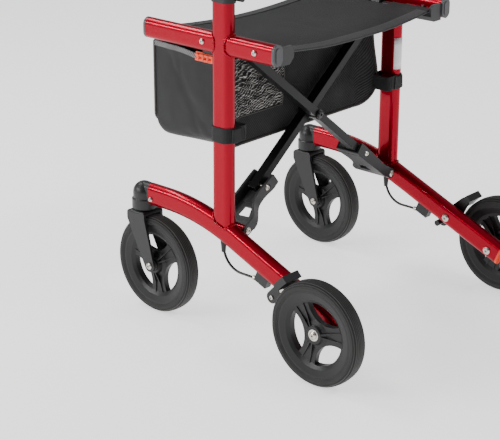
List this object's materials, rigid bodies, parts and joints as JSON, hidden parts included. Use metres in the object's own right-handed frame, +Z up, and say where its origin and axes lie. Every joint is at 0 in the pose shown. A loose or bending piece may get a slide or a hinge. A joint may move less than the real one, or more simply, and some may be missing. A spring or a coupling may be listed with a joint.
{
  "type": "rollator walker",
  "caption": "Folding four-wheeled walking frame with a scissor brace, sling seat, storage bag, lever brakes on the rear wheels and height-adjustable handles.",
  "frame": {"origin": "on the floor, at the middle of the bounding box, midway between the four wheels' axles", "axes": "+Z up, -Y the walking direction (casters in front), +X the user's left"},
  "size_m": [0.628, 0.648, 0.9166],
  "materials": {
    "frame_red": "glossy metallic red paint on aluminium tube",
    "black_metal": "satin black powder coat",
    "steel": "zinc-plated, satin",
    "black_plastic": "fine-textured glass-filled plastic",
    "dark_plastic": "satin moulded plastic",
    "wheel_plastic": "matte moulded rim",
    "tyre": "fine-grooved solid tyre",
    "cable": "smooth cable casing",
    "grip": "soft ribbed rubber",
    "strap": "woven webbing, with an orange-red moulded clip",
    "seat_fabric": "coarse woven sling fabric",
    "bag_fabric": "matte nylon"
  },
  "bodies": {
    "left_frame": {"lower_tube_left": "frame_red", "upright_left": "frame_red", "seat_rail_left": "frame_red", "end_caps_left": "dark_plastic", "seat_saddles_left": "dark_plastic", "frame_bolts_left": "steel", "rear_axle_left": "steel", "caster_head_left": "black_plastic", "cable_stop_left": "black_plastic", "brake_cable_left": "cable", "height_collar_left": "black_plastic", "bag_fastenings_left": "strap", "bag": "bag_fabric"},
    "caster_left": {"caster_fork_left": "black_plastic", "caster_axle_left": "steel"},
    "caster_wheel_left": {"caster_rim_left": "wheel_plastic", "caster_tyre_left": "tyre"},
    "rear_wheel_left": {"rear_rim_left": "wheel_plastic", "rear_tyre_left": "tyre"},
    "brake_left": {"brake_arm_left": "black_plastic"},
    "handle_left": {"handle_tube_left": "black_metal", "grip_left": "grip", "lever_bracket_left": "dark_plastic", "handle_cable_left": "cable"},
    "lever_left": {"brake_lever_left": "black_plastic"},
    "knob_left": {"height_knob_left": "black_plastic"},
    "seat_left": {"seat_tube_left": "black_metal", "seat_sling": "seat_fabric"},
    "right_frame": {"lower_tube_right": "frame_red", "upright_right": "frame_red", "seat_rail_right": "frame_red", "end_caps_right": "dark_plastic", "seat_saddles_right": "dark_plastic", "frame_bolts_right": "steel", "rear_axle_right": "steel", "caster_head_right": "black_plastic", "cable_stop_right": "black_plastic", "brake_cable_right": "cable", "height_collar_right": "black_plastic", "bag_fastenings_right": "strap"},
    "caster_right": {"caster_fork_right": "black_plastic", "caster_axle_right": "steel"},
    "caster_wheel_right": {"caster_rim_right": "wheel_plastic", "caster_tyre_right": "tyre"},
    "rear_wheel_right": {"rear_rim_right": "wheel_plastic", "rear_tyre_right": "tyre"},
    "brake_right": {"brake_arm_right": "black_plastic"},
    "handle_right": {"handle_tube_right": "black_metal", "grip_right": "grip", "lever_bracket_right": "dark_plastic", "handle_cable_right": "cable"},
    "lever_right": {"brake_lever_right": "black_plastic"},
    "knob_right": {"height_knob_right": "black_plastic"},
    "seat_right": {"seat_tube_right": "black_metal"},
    "brace_front": {"brace_bar_front": "black_metal", "brace_foot_left": "dark_plastic", "brace_bolts_front": "steel"},
    "brace_rear": {"brace_bar_rear": "black_metal", "brace_foot_right": "dark_plastic", "brace_bolts_rear": "steel"}
  },
  "joints": [
    {"name": "fold", "type": "hinge", "parent": "left_frame", "child": "brace_front", "pos_m": [0.2244, -0.0515, 0.2156], "axis": [0, 1, 0], "range_deg": [0, 46], "deforming": ["bag", "seat_sling"]},
    {"name": "brace_cross", "type": "hinge", "parent": "brace_front", "child": "brace_rear", "pos_m": [0, -0.0475, 0.39219], "axis": [0, 1, 0], "range_deg": [-92, 0]},
    {"name": "right_frame_turn", "type": "hinge", "parent": "brace_rear", "child": "right_frame", "pos_m": [-0.2244, -0.0515, 0.2156], "axis": [0, 1, 0], "range_deg": [0, 46]},
    {"name": "seat_left_turn", "type": "hinge", "parent": "brace_rear", "child": "seat_left", "pos_m": [0.2244, -0.036, 0.56877], "axis": [0, 1, 0], "range_deg": [0, 46]},
    {"name": "seat_right_turn", "type": "hinge", "parent": "brace_front", "child": "seat_right", "pos_m": [-0.2244, -0.059, 0.56877], "axis": [0, 1, 0], "range_deg": [-46, 0]},
    {"name": "caster_swivel_left", "type": "hinge", "parent": "left_frame", "child": "caster_left", "pos_m": [0.254, -0.26, 0.21], "axis": [0, 0, 1], "continuous": true},
    {"name": "caster_spin_left", "type": "hinge", "parent": "caster_left", "child": "caster_wheel_left", "pos_m": [0.254, -0.224, 0.1], "axis": [1, 0, 0], "continuous": true},
    {"name": "rear_spin_left", "type": "hinge", "parent": "left_frame", "child": "rear_wheel_left", "pos_m": [0.297, 0.224, 0.1], "axis": [1, 0, 0], "continuous": true},
    {"name": "handle_slide_left", "type": "slide", "parent": "left_frame", "child": "handle_left", "axis": [0, 0, 1], "range_m": [-0.07, 0.08]},
    {"name": "lever_squeeze_left", "type": "hinge", "parent": "handle_left", "child": "lever_left", "pos_m": [0.254, 0.0218, 0.83898], "axis": [1, 0, 0], "range_deg": [0, 16], "stiffness_Nm_per_rad": 0.8, "springref_deg": -5.73},
    {"name": "brake_turn_left", "type": "hinge", "parent": "left_frame", "child": "brake_left", "pos_m": [0.272, 0.1197, 0.1447], "axis": [-1, 0, 0], "range_deg": [0, 4]},
    {"name": "knob_turn_left", "type": "hinge", "parent": "left_frame", "child": "knob_left", "pos_m": [0.254, -0.01, 0.678], "axis": [0, 1, 0], "range_deg": [0, 540]},
    {"name": "caster_swivel_right", "type": "hinge", "parent": "right_frame", "child": "caster_right", "pos_m": [-0.254, -0.26, 0.21], "axis": [0, 0, 1], "continuous": true},
    {"name": "caster_spin_right", "type": "hinge", "parent": "caster_right", "child": "caster_wheel_right", "pos_m": [-0.254, -0.224, 0.1], "axis": [1, 0, 0], "continuous": true},
    {"name": "rear_spin_right", "type": "hinge", "parent": "right_frame", "child": "rear_wheel_right", "pos_m": [-0.297, 0.224, 0.1], "axis": [1, 0, 0], "continuous": true},
    {"name": "handle_slide_right", "type": "slide", "parent": "right_frame", "child": "handle_right", "axis": [0, 0, 1], "range_m": [-0.07, 0.08]},
    {"name": "lever_squeeze_right", "type": "hinge", "parent": "handle_right", "child": "lever_right", "pos_m": [-0.254, 0.0218, 0.83898], "axis": [1, 0, 0], "range_deg": [0, 16], "stiffness_Nm_per_rad": 0.8, "springref_deg": -5.73},
    {"name": "brake_turn_right", "type": "hinge", "parent": "right_frame", "child": "brake_right", "pos_m": [-0.272, 0.1197, 0.1447], "axis": [-1, 0, 0], "range_deg": [0, 4]},
    {"name": "knob_turn_right", "type": "hinge", "parent": "right_frame", "child": "knob_right", "pos_m": [-0.254, -0.01, 0.678], "axis": [0, 1, 0], "range_deg": [0, 540]}
  ],
  "couplings": [
    {"joint": "brace_cross", "follows": "fold", "ratio": -2},
    {"joint": "right_frame_turn", "follows": "fold", "ratio": 1},
    {"joint": "seat_left_turn", "follows": "fold", "ratio": 1},
    {"joint": "seat_right_turn", "follows": "fold", "ratio": -1},
    {"joint": "brake_turn_left", "follows": "lever_squeeze_left", "ratio": 0.25},
    {"joint": "brake_turn_right", "follows": "lever_squeeze_right", "ratio": 0.25}
  ]
}
